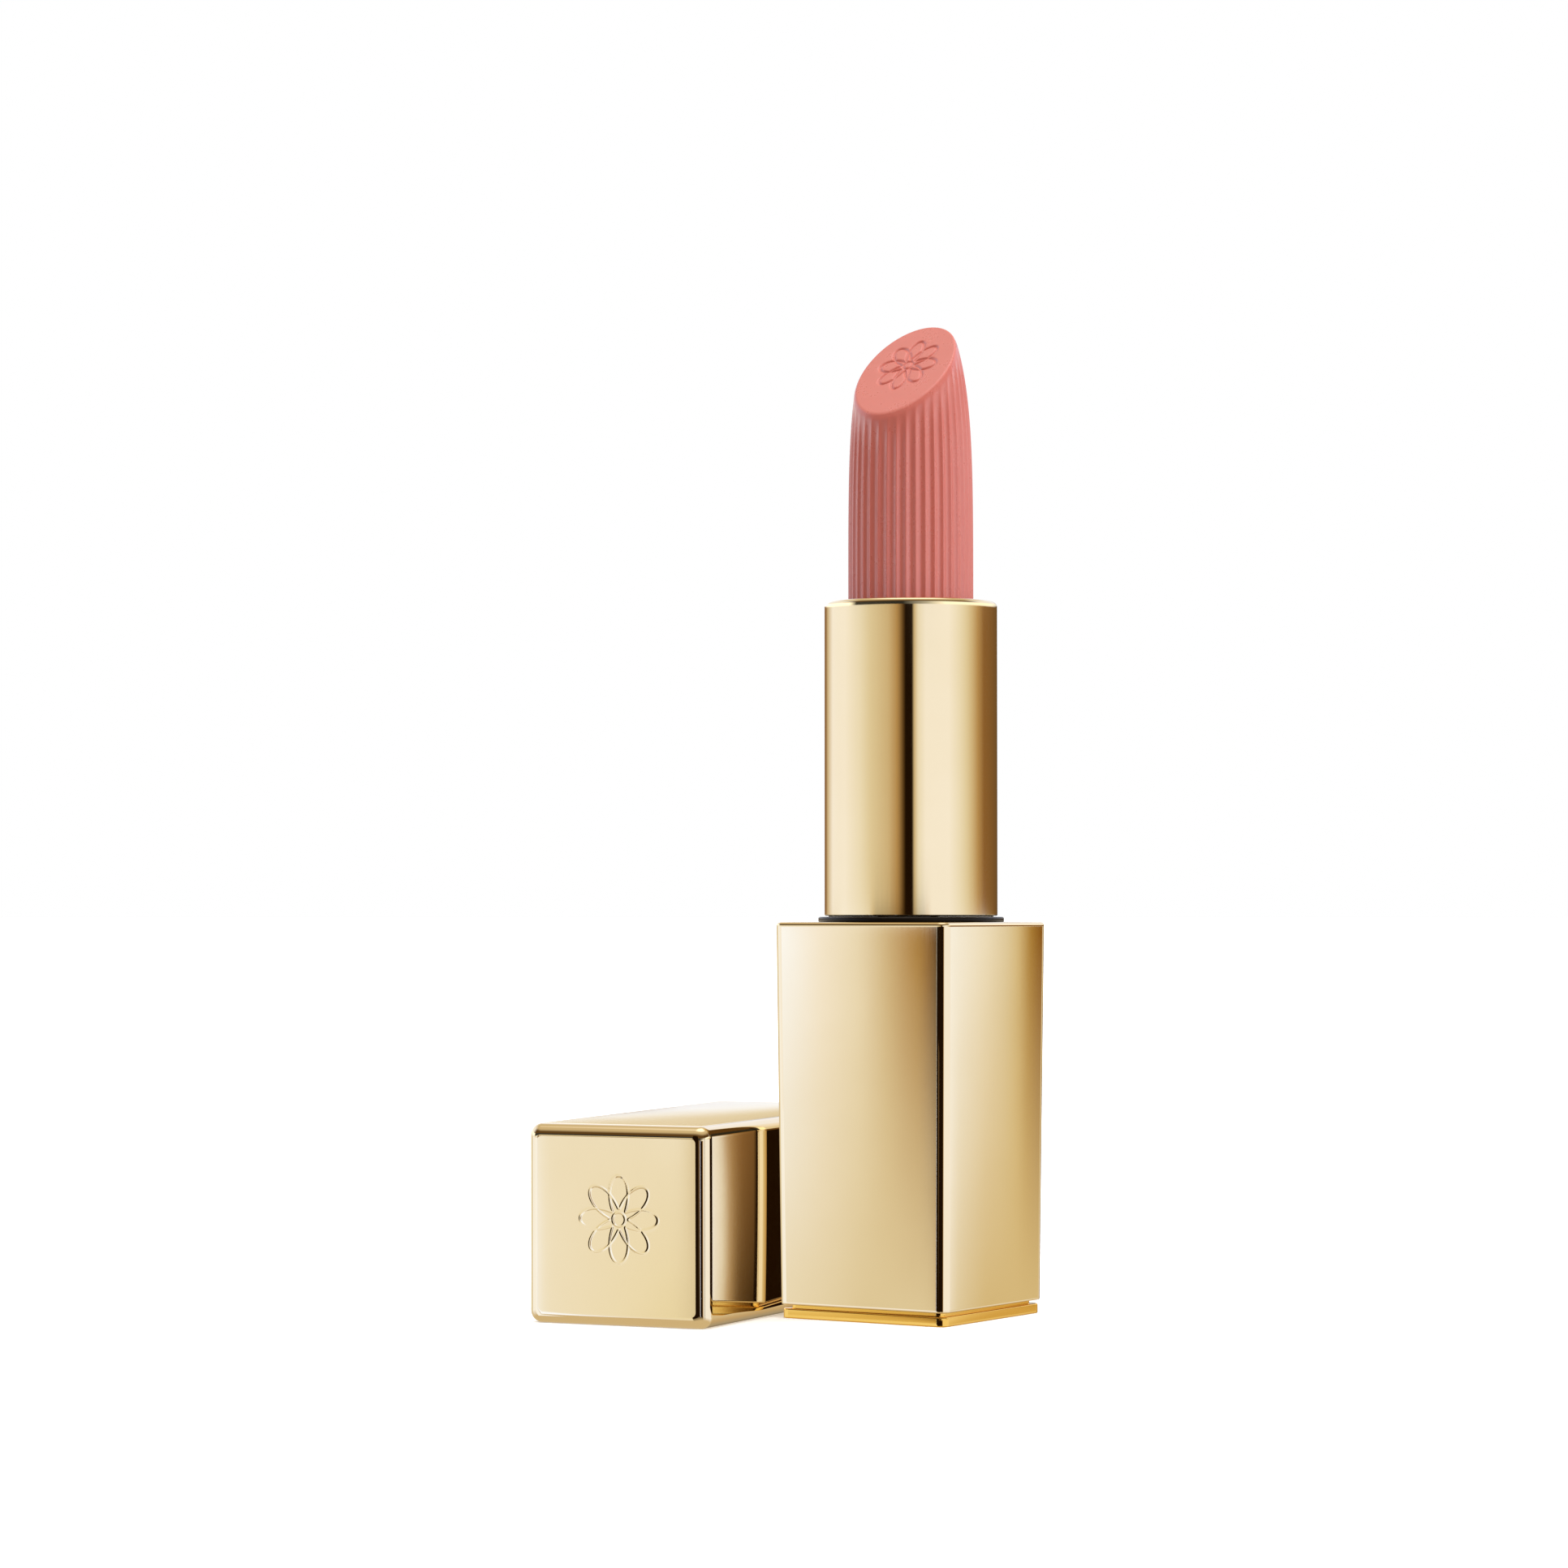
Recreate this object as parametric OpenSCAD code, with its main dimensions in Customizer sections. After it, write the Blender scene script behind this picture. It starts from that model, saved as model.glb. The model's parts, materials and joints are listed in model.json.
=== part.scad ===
// Square twist-up lipstick case: the base stands upright with the stick turned out,
// and the cap lies on one of its sides on the same surface.
// Millimetres. The origin is the centre of the foot's underside, +Z is up.
// Turning the round tube against the base drives the cup and the stick down a double helix.

/* [Base] */
// Width of the square base at its top edge
base_top_w = 19.26; // [19.2:0.01:19.6]
// Width of the square base just above the foot
base_bottom_w = 18.53; // [18.5:0.01:19.2]
// Height of the base, foot included
base_h = 37.8; // [37:0.1:42]
// Rounding of the upright corners of base and cap
corner_r = 0.9; // [0.5:0.1:1.2]
// Height of the foot plate
foot_h = 0.95; // [0.6:0.05:1.5]
// Height of the dark gap between the foot plate and the base shell
foot_gap = 0.35; // [0.2:0.05:0.6]

/* [Tube] */
// Outer radius of the round tube that the cap slides over
tube_r = 8.33; // [8.3:0.01:8.4]
// Height of the tube's rim above the base
tube_h = 30.83; // [30:0.01:34]
// Outer radius of the collar ring at the foot of the tube
collar_r = 8.95; // [8.8:0.01:9]
// Height of the collar ring above the base
collar_h = 0.5; // [0.3:0.05:0.6]

/* [Mechanism] */
// Rise of the helix in one full turn of the tube
helix_lead = 18; // [16:0.5:20]
// How far the stick travels from full out to full in
travel = 27; // [20:0.5:27]
// Radius of the two round lugs on the cup
lug_r = 0.85; // [0.7:0.05:0.9]

/* [Stick] */
// Radius of the lipstick
stick_r = 6.05; // [6:0.01:6.1]
// Height of the middle of the slanted face above the tube's rim
cut_h = 23.54; // [22:0.1:24]
// Slope of the slanted face from the horizontal, in degrees
cut_angle = 45.3; // [40:0.1:50]
// Height above the rim at which the bullet shape would close to a point
ogive_h = 30.51; // [29:0.1:32]
// Number of moulded flutes round the stick
flute_count = 40; // [24:1:48]

/* [Cap] */
// Length of the cap
cap_l = 41; // [40:0.5:46]
// Width of the cap's closed end
cap_end_w = 18.8; // [18.7:0.01:19.2]
// Turn of the cap's length away from +Y, in degrees
cap_yaw = 8.58; // [7:0.1:9]
// Middle of the closed end, where it stands on the surface
cap_end_xy = [-17.33, -24.67];

/* [Hidden] */

$fn = 96;
eps = 0.01;
rim_z = base_h + tube_h;
edge_break = 0.4;

// base
shell_z = foot_h + foot_gap;
shell_wall = 0.9;
cavity_w = 17.4;
cavity_r = 0.6;
foot_w = 18.2;
foot_r = 0.8;
foot_neck_w = 16.9;
press_gap = 0.02;
plug_top_z = 4.3;
collar_hole_r = 8.6;
label_r = 7;
label_t = 0.2;
weight_r = 7.6;

// running fits of the turning sleeve
cam_r = 7.95;
cam_bore_r = 7.2;
cam_flange_r = 8.19;
cam_flange_z = 29.63;
cam_flange_t = 0.82;
liner_bore_r = 8.03;
liner_step_z = 30.5;
liner_low_bore_r = 8.25;

// slotted inner body
body_r = 7.12;
body_bore_r = 6.65;
hub_z = 13.5;
hub_top_z = 29;
hub_floor_t = 1.5;
body_top_z = rim_z - 0.73;
o_ring_r = 0.3;
o_ring_mid_r = 7.7;

// cup and stick
cup_r = 6.5;
cup_bore_r = 6.08;
cup_h = 9.8;
cup_z = rim_z - 1.03 - cup_h;
cup_floor_t = 1;
cup_vent_r = 1.2;
lug_z = cup_z + 1.6;
lug_tip_r = 7.7;
slot_clear = 0.1;
slot_l = 20;
helix_clear = 0.15;
window_inner_r = 6.9;
window_outer_r = 8.9;
flute_r = 0.45;
flute_depth = 0.15;
flute_h = 20;
blank_h = 28.2;

// tube rim
tube_wall = 0.36;
lip_r = 6.75;
lip_t = 0.5;
rim_fillet = 0.45;

// cap
cap_tilt = atan((base_top_w - cap_end_w) / 2 / cap_l);
cap_wall = 0.4;
cap_floor_t = 0.6;
cap_bore_r = 8.45;
cap_liner_z = 4.8;
cap_liner_floor_z = 7.5;
cap_bore_z = 8.5;
cap_mouth_step = 0.8;
cap_rib_r = 0.5;
cap_rib_reach = 0.09;
cap_rib_z = 22;
cap_rib_l = 12;
cap_weight_r = 8.7;

gold = [0.86, 0.74, 0.48];
satin_gold = [0.80, 0.66, 0.38];
dark_brown = [0.12, 0.08, 0.05];
ivory = [0.92, 0.90, 0.85];
steel = [0.62, 0.63, 0.65];
coral = [0.80, 0.42, 0.38];

// Square of width w with round corners, flat
module rounded_square(w, r) {
    square([w - 2 * r, w], center = true);
    square([w, w - 2 * r], center = true);
    for (x = [-1, 1], y = [-1, 1])
        translate([x, y] * (w / 2 - r))
            circle(r);
}

// Upright square bar of constant width
module square_bar(w, r, z0, z1) {
    translate([0, 0, z0])
        linear_extrude(z1 - z0)
            rounded_square(w, r);
}

// Thin square layer that a hull joins to others
module layer(w, r, z) {
    translate([0, 0, z])
        linear_extrude(eps)
            rounded_square(w, r, $fn = 32);
}

// Square bar that widens evenly from w0 to w1
module tapered_bar(w0, w1, r, z0, z1) {
    hull() {
        layer(w0, r, z0);
        layer(w1, r, z1 - eps);
    }
}

// Cylinder between two heights
module post(r, z0, z1) {
    translate([0, 0, z0])
        cylinder(r = r, h = z1 - z0);
}

// Foot plate with a plug that is pressed into the base shell
module base_foot() {
    color(gold)
    difference() {
        union() {
            square_bar(foot_w, foot_r, 0, foot_h);
            square_bar(foot_neck_w, cavity_r, foot_h - eps, shell_z + eps);
            square_bar(cavity_w - 2 * press_gap, cavity_r, shell_z, plug_top_z);
        }
        post(label_r + press_gap, -1, label_t);
    }
}

// Blank round label, flush with the foot's underside
module shade_label() {
    color(ivory)
        post(label_r, 0, label_t);
}

// Tapered square outer shell with a round hole in its top
module base_shell() {
    color(gold)
    difference() {
        hull() {
            layer(base_bottom_w, corner_r, shell_z);
            layer(base_top_w, corner_r, base_h - edge_break);
            layer(base_top_w - 2 * edge_break, corner_r - edge_break / 2, base_h - eps);
        }
        square_bar(cavity_w, cavity_r, 0, base_h - shell_wall);
        post(collar_hole_r, base_h - 2, base_h + 1);
    }
}

// Plastic liner: holds the mechanism and is the bearing of the turning sleeve
module base_liner() {
    color(ivory)
    difference() {
        square_bar(cavity_w - 2 * press_gap, cavity_r, plug_top_z, base_h - shell_wall - press_gap);
        post(liner_low_bore_r, plug_top_z - 1, liner_step_z);
        post(liner_bore_r, liner_step_z - 1, base_h);
    }
}

// Steel slug that gives the base its heft
module base_weight() {
    color(steel)
        post(weight_r, plug_top_z, hub_z - 0.3);
}

// Thin dark ring round the foot of the tube, with a spigot in the shell's hole
module collar() {
    color(dark_brown)
    difference() {
        union() {
            post(collar_r, base_h, base_h + collar_h);
            post(collar_hole_r - press_gap, base_h - shell_wall, base_h + eps);
        }
        post(liner_bore_r, base_h - 2, base_h + 2);
    }
}

// Fixed slotted tube: its two slots keep the cup from turning
module inner_body() {
    slot_w = 2 * (lug_r + slot_clear);
    slot_low_z = lug_z - travel;
    color(ivory)
    difference() {
        union() {
            post(liner_low_bore_r - press_gap, hub_z, hub_top_z);
            post(body_r, hub_top_z - eps, body_top_z);
        }
        post(body_bore_r, hub_z + hub_floor_t, rim_z);
        translate([-slot_l / 2, -slot_w / 2, slot_low_z])
            cube([slot_l, slot_w, travel]);
        for (z = [slot_low_z, lug_z])
            translate([-slot_l / 2, 0, z])
                rotate([0, 90, 0])
                    cylinder(r = slot_w / 2, h = slot_l);
    }
}

// Silicone ring that gives the twist its smooth drag
module torque_o_ring() {
    color("dimgray")
        translate([0, 0, hub_top_z + o_ring_r])
            rotate_extrude()
                translate([o_ring_mid_r, 0])
                    circle(o_ring_r, $fn = 48);
}

// One helical window for a lug, wide enough for the lug across the helix
module helix_window() {
    slope = atan(helix_lead / (2 * PI * cam_r));
    tall = 2 * (lug_r + helix_clear) / cos(slope);
    half_angle = tall / helix_lead * 180;
    over = lug_r + helix_clear;
    window_h = travel + 2 * over;
    sector = [
        for (a = [-1 : 1 : 1]) window_inner_r * [cos(a * half_angle), sin(a * half_angle)],
        for (a = [1 : -1 : -1]) window_outer_r * [cos(a * half_angle), sin(a * half_angle)]
    ];
    translate([0, 0, lug_z - travel - over])
        rotate([0, 0, -(travel + over) / helix_lead * 360])
            linear_extrude(window_h, twist = -window_h / helix_lead * 360, slices = 100, $fn = 6)
                polygon(sector);
}

// Turning sleeve with two helical windows that carry the cup's lugs
module cam_sleeve() {
    color([0.85, 0.83, 0.78])
    difference() {
        union() {
            post(cam_flange_r, cam_flange_z, cam_flange_z + cam_flange_t);
            post(cam_r, cam_flange_z, rim_z - lip_t - press_gap);
        }
        post(cam_bore_r, 0, rim_z);
        for (a = [0, 180])
            rotate([0, 0, a])
                helix_window();
    }
}

// Bright outer tube with a rolled-in rim, pressed over the sleeve
module tube_shell() {
    bottom_z = base_h + collar_h + 0.1;
    inner_r = tube_r - tube_wall;
    color(gold)
    rotate_extrude()
        polygon([
            [inner_r, bottom_z],
            [tube_r, bottom_z],
            for (a = [0 : 15 : 90])
                [tube_r - rim_fillet * (1 - cos(a)), rim_z - rim_fillet * (1 - sin(a))],
            [lip_r, rim_z],
            [lip_r, rim_z - lip_t],
            [inner_r, rim_z - lip_t]
        ]);
}

// Cup that grips the stick, with two lugs in the slots and the helix
module cup() {
    color(satin_gold)
    difference() {
        union() {
            post(cup_r, cup_z, cup_z + cup_h);
            for (side = [0, 180])
                translate([0, 0, lug_z])
                    rotate([0, 90, side])
                        cylinder(r = lug_r, h = lug_tip_r, $fn = 48);
        }
        post(cup_bore_r, cup_z + cup_floor_t, rim_z);
        post(cup_vent_r, cup_z - 1, rim_z);
    }
}

// Radius of the bullet shape at a height above the rim
function ogive_r(h) = stick_r * sqrt(1 - pow(h / ogive_h, 4.09));

// The stick: a fluted bullet cut off by one slanted face towards -Y
module stick() {
    color(coral)
    difference() {
        rotate_extrude()
            polygon([
                [0, cup_z + cup_floor_t],
                [stick_r, cup_z + cup_floor_t],
                [stick_r, rim_z],
                for (h = [6, 10, 13, 16, 18, 20, 22, 24, 25.5, 27, blank_h])
                    [ogive_r(h), rim_z + h],
                [0, rim_z + blank_h]
            ]);
        translate([0, 0, rim_z + cut_h])
            rotate([cut_angle, 0, 0])
                translate([-20, -20, 0])
                    cube([40, 40, 30]);
        for (i = [0 : flute_count - 1])
            rotate([0, 0, (i + 0.5) * 360 / flute_count])
                translate([stick_r + flute_r - flute_depth, 0, rim_z - 0.9])
                    cylinder(r = flute_r, h = flute_h, $fn = 24);
    }
}

// Lays a cap part, drawn upright with its closed end down, on its side in its place
module lay_cap() {
    translate([cap_end_xy.x, cap_end_xy.y, cap_end_w / 2 * cos(cap_tilt)])
        rotate([0, 0, cap_yaw])
            rotate([cap_tilt - 90, 0, 0])
                children();
}

// Width of the cap at a distance from its closed end
function cap_w(z) = cap_end_w + (base_top_w - cap_end_w) * z / cap_l;

// Tapered square cap shell, open at the mouth
module cap_shell() {
    color(gold)
    lay_cap()
        difference() {
            hull() {
                layer(cap_end_w - 2 * edge_break, corner_r - edge_break / 2, 0);
                layer(cap_w(edge_break), corner_r, edge_break);
                layer(base_top_w, corner_r, cap_l - eps);
            }
            tapered_bar(cap_w(0) - 2 * cap_wall, base_top_w - 2 * cap_wall, corner_r - cap_wall,
                cap_floor_t, cap_l + 1);
        }
}

// Plastic liner of the cap, with six small ribs that grip the tube
module cap_liner() {
    fit = 2 * (cap_wall + press_gap);
    top_z = cap_l - cap_mouth_step;
    color(ivory)
    lay_cap() {
        difference() {
            tapered_bar(cap_w(cap_liner_z) - fit, cap_w(top_z) - fit, corner_r - cap_wall,
                cap_liner_z, top_z);
            post(cap_bore_r, cap_bore_z, cap_l);
            post(cap_bore_r - 1, cap_liner_z - 1, cap_liner_floor_z);
        }
        for (a = [30 : 60 : 330])
            rotate([0, 0, a])
                translate([cap_bore_r + cap_rib_r - cap_rib_reach, 0, cap_rib_z])
                    intersection() {
                        cylinder(r = cap_rib_r, h = cap_rib_l, $fn = 24);
                        translate([-cap_rib_r, -cap_rib_r, 0])
                            cube([cap_rib_r + 0.05, 2 * cap_rib_r, cap_rib_l]);
                    }
    }
}

// Steel disc in the closed end that gives the cap its heft
module cap_weight() {
    color(steel)
    lay_cap()
        post(cap_weight_r, cap_floor_t + press_gap, cap_liner_z - press_gap);
}

base_foot();
shade_label();
base_shell();
base_liner();
base_weight();
collar();
inner_body();
torque_o_ring();
cam_sleeve();
tube_shell();
cup();
stick();
cap_shell();
cap_liner();
cap_weight();
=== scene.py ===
"""Looks of the square twist-up lipstick case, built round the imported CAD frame."""

import json
import math

import bpy
import numpy as np
from mathutils import Matrix, Vector

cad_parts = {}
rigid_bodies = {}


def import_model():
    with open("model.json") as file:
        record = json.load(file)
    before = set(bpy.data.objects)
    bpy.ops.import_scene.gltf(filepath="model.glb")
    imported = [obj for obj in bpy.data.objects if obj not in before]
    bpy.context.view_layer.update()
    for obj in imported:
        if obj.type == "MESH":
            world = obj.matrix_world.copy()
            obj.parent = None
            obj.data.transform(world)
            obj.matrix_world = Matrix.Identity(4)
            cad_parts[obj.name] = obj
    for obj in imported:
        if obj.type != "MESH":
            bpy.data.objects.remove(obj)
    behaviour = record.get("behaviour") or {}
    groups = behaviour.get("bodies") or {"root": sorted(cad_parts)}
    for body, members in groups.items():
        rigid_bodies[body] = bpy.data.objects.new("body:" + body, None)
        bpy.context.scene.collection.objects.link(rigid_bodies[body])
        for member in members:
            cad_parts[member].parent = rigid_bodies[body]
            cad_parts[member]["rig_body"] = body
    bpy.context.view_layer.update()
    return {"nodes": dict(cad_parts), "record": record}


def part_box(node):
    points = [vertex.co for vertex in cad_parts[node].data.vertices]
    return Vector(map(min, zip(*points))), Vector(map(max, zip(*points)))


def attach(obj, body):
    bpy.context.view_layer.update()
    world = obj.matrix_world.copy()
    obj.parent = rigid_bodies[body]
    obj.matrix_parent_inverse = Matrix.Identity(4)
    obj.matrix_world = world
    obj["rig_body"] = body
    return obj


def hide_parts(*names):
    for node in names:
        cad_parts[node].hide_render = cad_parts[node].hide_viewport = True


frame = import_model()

MM = 0.001
MICRON = 0.000001
scene = bpy.context.scene
scene.view_settings.view_transform = "Standard"
scene.view_settings.look = "None"

# ---------------------------------------------------------------- camera
CAMERA_AZIMUTH = math.radians(33.08)
CAMERA_PITCH = math.radians(1.68)
CAMERA_PLACE = Vector((216.2, -354.35, 38.95)) * MM


def make_camera():
    """A long lens at the height of the base's top, looking very slightly up."""
    data = bpy.data.cameras.new("camera")
    data.lens = 98.72
    data.sensor_width = 36
    data.clip_start = 0.01
    data.clip_end = 20
    camera = bpy.data.objects.new("camera", data)
    scene.collection.objects.link(camera)
    camera.location = CAMERA_PLACE
    camera.rotation_euler = (math.pi / 2 + CAMERA_PITCH, 0, CAMERA_AZIMUTH)
    scene.camera = camera


make_camera()


# ---------------------------------------------------------------- mesh helpers
def mesh_piece(name, verts, faces, sharp_deg=40):
    """A smooth-shaded mesh object from points in millimetres."""
    mesh = bpy.data.meshes.new(name)
    mesh.from_pydata([tuple(c * MM for c in v) for v in verts], [], faces)
    mesh.validate()
    mesh.update()
    mesh.shade_smooth()
    mesh.set_sharp_from_angle(angle=math.radians(sharp_deg))
    piece = bpy.data.objects.new(name, mesh)
    scene.collection.objects.link(piece)
    return piece


def skin(rings, closed=True):
    """Quads between rings of equal count; closed joins the last ring to the first."""
    count, rows = len(rings[0]), len(rings)
    faces = []
    for j in range(rows if closed else rows - 1):
        a, b = j * count, (j + 1) % rows * count
        for i in range(count):
            k = (i + 1) % count
            faces.append((a + i, a + k, b + k, b + i))
    return faces


def ring_piece(name, rings, sharp_deg=40, closed=True):
    """A piece skinned over rings that run up the outside and down the inside."""
    return mesh_piece(name, [p for ring in rings for p in ring], skin(rings, closed), sharp_deg)


def arc(r, z, radius, start_deg, end_deg, steps=8):
    """Points along a circle about (r, z)."""
    angles = np.radians(np.linspace(start_deg, end_deg, steps + 1))
    return [(r + radius * math.cos(a), z + radius * math.sin(a)) for a in angles]


def lathe(name, outline, segments=192, step=4, sharp_deg=50):
    """A solid ring turned from a closed outline of (r, z) points that runs anticlockwise."""
    rings = []
    for (r0, z0), (r1, z1) in zip(outline, outline[1:] + outline[:1]):
        parts = max(1, math.ceil(math.hypot(r1 - r0, z1 - z0) / step))
        for j in range(parts):
            r = r0 + (r1 - r0) * j / parts
            z = z0 + (z1 - z0) * j / parts
            angles = (2 * math.pi * i / segments for i in range(segments))
            rings.append([(r * math.cos(a), r * math.sin(a), z) for a in angles])
    return ring_piece(name, rings, sharp_deg)


CORNER_STEPS = 12
# Faces are closed by shrinking a ring almost to a point, so that no face has a zero area.
FACE_CLOSED = 0.9995
PINHOLE = 0.001


def square_ring(w, r, z, pillow=0.0, side_steps=20):
    """Points round a square with round corners; pillow swells its sides."""
    ring = []
    reach = w / 2 - r
    for k in range(4):
        turn = Matrix.Rotation(k * math.pi / 2, 2)
        for i in range(side_steps):
            t = math.sin(math.pi / 2 * (2 * i / side_steps - 1))
            ring.append(turn @ Vector((w / 2 + pillow * (1 - t * t), t * reach)))
        for i in range(CORNER_STEPS):
            a = math.pi / 2 * i / CORNER_STEPS
            ring.append(turn @ Vector((reach + r * math.cos(a), reach + r * math.sin(a))))
    return [(p.x, p.y, z) for p in ring]


def round_ring(like, radius, z):
    """Points on a circle, at the same bearings as another ring's."""
    return [(x / math.hypot(x, y) * radius, y / math.hypot(x, y) * radius, z) for x, y, _ in like]


def between(ring, other, share):
    """A ring part of the way from one to another."""
    return [tuple(a + (b - a) * share for a, b in zip(p, q)) for p, q in zip(ring, other)]


def crowded(low, high, count):
    """Heights from low to high that crowd near both ends."""
    return [low + (high - low) * (0.5 - 0.5 * math.cos(math.pi * i / count)) for i in range(count + 1)]


def quarter(steps):
    """(inset, rise) shares of a rounded edge, from the wall (0, 0) to the face (1, 1)."""
    angles = [math.pi / 2 * i / steps for i in range(steps + 1)]
    return [(1 - math.cos(a), math.sin(a)) for a in angles]


def stand_for(piece, node):
    """The piece is shown in place of its CAD node and rides on that node's body."""
    body = frame["nodes"][node]["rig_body"]
    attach(piece, body)
    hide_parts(node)
    return piece


# ---------------------------------------------------------------- sizes, in millimetres
def mm_box(node):
    low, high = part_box(node)
    return low / MM, high / MM


shell_low, shell_high = mm_box("base_shell")
foot_low, foot_high = mm_box("base_foot")
collar_low, collar_high = mm_box("collar")
tube_low, tube_high = mm_box("tube_shell")
stick_low = mm_box("stick")[0]
BASE_TOP_W = shell_high.x - shell_low.x
BASE_LOW_W = 18.53
CORNER_R = 0.9
SHELL_WALL = 0.9
CAVITY_W = 17.4
INNER_CORNER_R = 0.6
COLLAR_HOLE_R = 8.6
RIM_Z = tube_high.z


# ---------------------------------------------------------------- pieces of the base and tube
def build_base_shell():
    """Tapered square shell: soft top edge, hemmed lower edge, round hole in the top."""
    top, low = shell_high.z, shell_low.z
    fillet, hem, pillow = 0.3, 0.15, 0.004

    def outer(z, inset, corner_share):
        t = (z - low) / (top - low)
        w = BASE_LOW_W + (BASE_TOP_W - BASE_LOW_W) * t - 2 * inset
        return square_ring(w, CORNER_R - corner_share * inset, z, pillow * (1 - (2 * t - 1) ** 2))

    rings = [outer(low + hem * (1 - rise), hem * inset, 1) for inset, rise in reversed(quarter(4))]
    rings += [outer(z, 0, 1) for z in crowded(low + hem, top - fillet, 26)[1:-1]]
    rings += [outer(top - fillet * (1 - rise), fillet * inset, 0.8) for inset, rise in quarter(8)]
    edge = rings[-1]
    hole = round_ring(edge, COLLAR_HOLE_R + 0.05, top)
    rings += [between(edge, hole, share) for share in (0.1, 0.5, 0.9, 1)]
    rings += [round_ring(edge, COLLAR_HOLE_R, z) for z in (top - 0.05, top - SHELL_WALL)]
    for z in (top - SHELL_WALL, top - SHELL_WALL - 0.2, low + 0.2, low):
        rings.append(square_ring(CAVITY_W, INNER_CORNER_R, z))
    return ring_piece("base_shell_visible", rings)


def build_base_foot():
    """Foot plate with softened edges, its narrow neck and the plug inside the shell."""
    w, plate_h, neck_w, plug_w = foot_high.x - foot_low.x, 0.95, 16.9, 17.36
    corner, edge, label_r, label_t = 0.8, 0.14, 7.02, 0.2
    neck_z = shell_low.z

    def plate(z, inset):
        return square_ring(w - 2 * inset, corner - inset, z)

    rings = [plate(edge * (1 - rise), edge * inset) for inset, rise in reversed(quarter(5))]
    rings += [plate(plate_h - edge * (1 - rise), edge * inset) for inset, rise in quarter(5)]
    rings += [square_ring(neck_w, INNER_CORNER_R, z) for z in (plate_h, neck_z)]
    rings += [square_ring(plug_w, INNER_CORNER_R, z) for z in (neck_z, foot_high.z)]
    for share in (0.5, 0.01):
        rings.append(square_ring(plug_w * share, INNER_CORNER_R * share, foot_high.z))
    rings += [round_ring(rings[0], r, label_t) for r in (0.1, label_r)]
    rings.append(round_ring(rings[0], label_r, 0.0))
    return ring_piece("base_foot_visible", rings)


def build_collar():
    """Thin dark ring with a rounded shoulder, and its spigot in the shell's hole."""
    low, top, outer_r = collar_low.z, collar_high.z, collar_high.x
    ring_low = top - 0.5
    hole_r, spigot_r, shoulder = 8.03, 8.58, 0.2
    foot_break, hole_break = 0.06, 0.05
    outline = [
        (hole_r, low),
        (spigot_r, low),
        (spigot_r, ring_low),
        (outer_r - foot_break, ring_low),
        (outer_r, ring_low + foot_break),
    ]
    outline += arc(outer_r - shoulder, top - shoulder, shoulder, 0, 90)
    outline += [(hole_r + hole_break, top), (hole_r, top - hole_break)]
    return lathe("collar_visible", outline)


def build_tube():
    """Bright tube with a rolled rim that turns down into the mouth."""
    r, z0, z1 = tube_high.x, tube_low.z, RIM_Z
    wall, fillet, lip_r, lip_t, lip_edge = 0.36, 0.42, 6.75, 0.5, 0.2
    inner_break, outer_break = 0.05, 0.08
    outline = [
        (r - wall, z0 + inner_break),
        (r - wall + inner_break, z0),
        (r - outer_break, z0),
        (r, z0 + outer_break),
        (r, z0 + 0.12),
        (r, z1 - fillet - 0.3),
    ]
    outline += arc(r - fillet, z1 - fillet, fillet, 0, 90, 10)
    outline += [(lip_r + 0.4, z1)]
    outline += arc(lip_r + lip_edge, z1 - lip_edge, lip_edge, 90, 180, 6)
    outline += [(lip_r, z1 - lip_t), (r - wall, z1 - lip_t)]
    return lathe("tube_shell_visible", outline, segments=256)


# ---------------------------------------------------------------- engraved ornament
def rosette(radius):
    """Two interlaced four-leaf lines round a small ring: points on the lines, in a plane."""
    turns = np.linspace(0, 2 * math.pi, 721)
    lines = []
    for start in (0, math.pi / 4):
        r = radius * (0.62 + 0.38 * np.cos(4 * (turns - start)))
        lines.append(np.stack([r * np.cos(turns), r * np.sin(turns)], 1))
    ring = 0.16 * radius
    lines.append(np.stack([ring * np.cos(turns), ring * np.sin(turns)], 1))
    return np.concatenate(lines)


def groove_depth(points, lines, width, depth):
    """How deep a rounded groove along the lines is at each point of the plane."""
    out = np.zeros(len(points))
    for start in range(0, len(points), 2000):
        part = points[start : start + 2000]
        gap = np.sqrt(((part[:, None, :] - lines[None]) ** 2).sum(2).min(1))
        out[start : start + 2000] = depth * np.exp(-((gap / (width / 2)) ** 2) * 1.5)
    return out


# ---------------------------------------------------------------- the stick
STICK_R = 6.05
OGIVE_H = 30.51
CUT_H = 23.54
CUT_SLOPE = math.tan(math.radians(45.3))
FLUTES = 40


def stick_radius(height):
    """Radius of the bullet shape at a height above the tube's rim."""
    t = np.clip(height / OGIVE_H, 0, 1)
    return STICK_R * np.sqrt(1 - t**4.09)


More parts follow.
